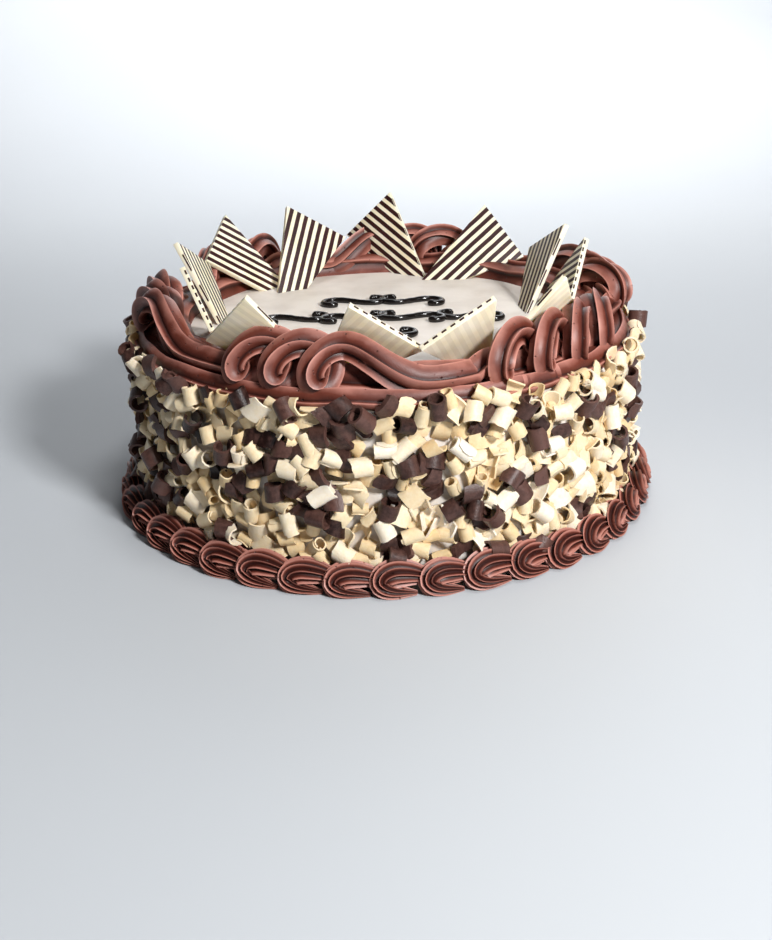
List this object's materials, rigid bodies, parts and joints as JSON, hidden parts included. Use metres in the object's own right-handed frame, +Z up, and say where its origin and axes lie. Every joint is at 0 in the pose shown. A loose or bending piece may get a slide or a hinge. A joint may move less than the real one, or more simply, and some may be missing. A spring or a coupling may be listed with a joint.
{
  "type": "layer cake",
  "caption": "Round cream gateau with chocolate curls on its side, a piped chocolate rope on top, piped shells at the foot and a zigzag crown of striped chocolate triangles.",
  "frame": {"origin": "middle of the cake's foot, on the surface it stands on", "axes": "+Z up through the cake's middle; -Y is the front, the side seen in the picture; +X is to the viewer's right"},
  "size_m": [0.2362, 0.2362, 0.1109],
  "materials": {
    "whipped_cream": "satin",
    "chocolate_buttercream": "satin",
    "white_chocolate": "satin"
  },
  "bodies": {
    "root": {"cake": "whipped_cream", "bottom_border": "chocolate_buttercream", "top_border": "chocolate_buttercream", "plaque_01": "white_chocolate", "plaque_02": "white_chocolate", "plaque_03": "white_chocolate", "plaque_04": "white_chocolate", "plaque_05": "white_chocolate", "plaque_06": "white_chocolate", "plaque_07": "white_chocolate", "plaque_08": "white_chocolate", "plaque_09": "white_chocolate", "plaque_10": "white_chocolate", "plaque_11": "white_chocolate", "plaque_12": "white_chocolate"}
  },
  "joints": []
}
